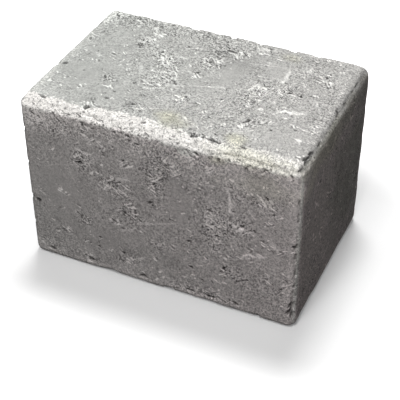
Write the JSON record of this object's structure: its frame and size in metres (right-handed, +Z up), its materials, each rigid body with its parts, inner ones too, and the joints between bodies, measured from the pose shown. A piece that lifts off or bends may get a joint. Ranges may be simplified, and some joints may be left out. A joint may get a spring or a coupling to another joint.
{
  "type": "concrete brick",
  "caption": "Solid rectangular concrete brick for edging, low walls and paving, with plain faces and edges and corners worn round by tumbling.",
  "frame": {"origin": "centre of the base that the brick lies on", "axes": "+X along the length, +Y across the width towards the back, +Z up"},
  "size_m": [0.21, 0.14, 0.14],
  "materials": {
    "concrete": "matt cast concrete, fine grained, with small pits and scuffs and with pale worn edges"
  },
  "bodies": {
    "root": {"brick": "concrete"}
  },
  "joints": []
}
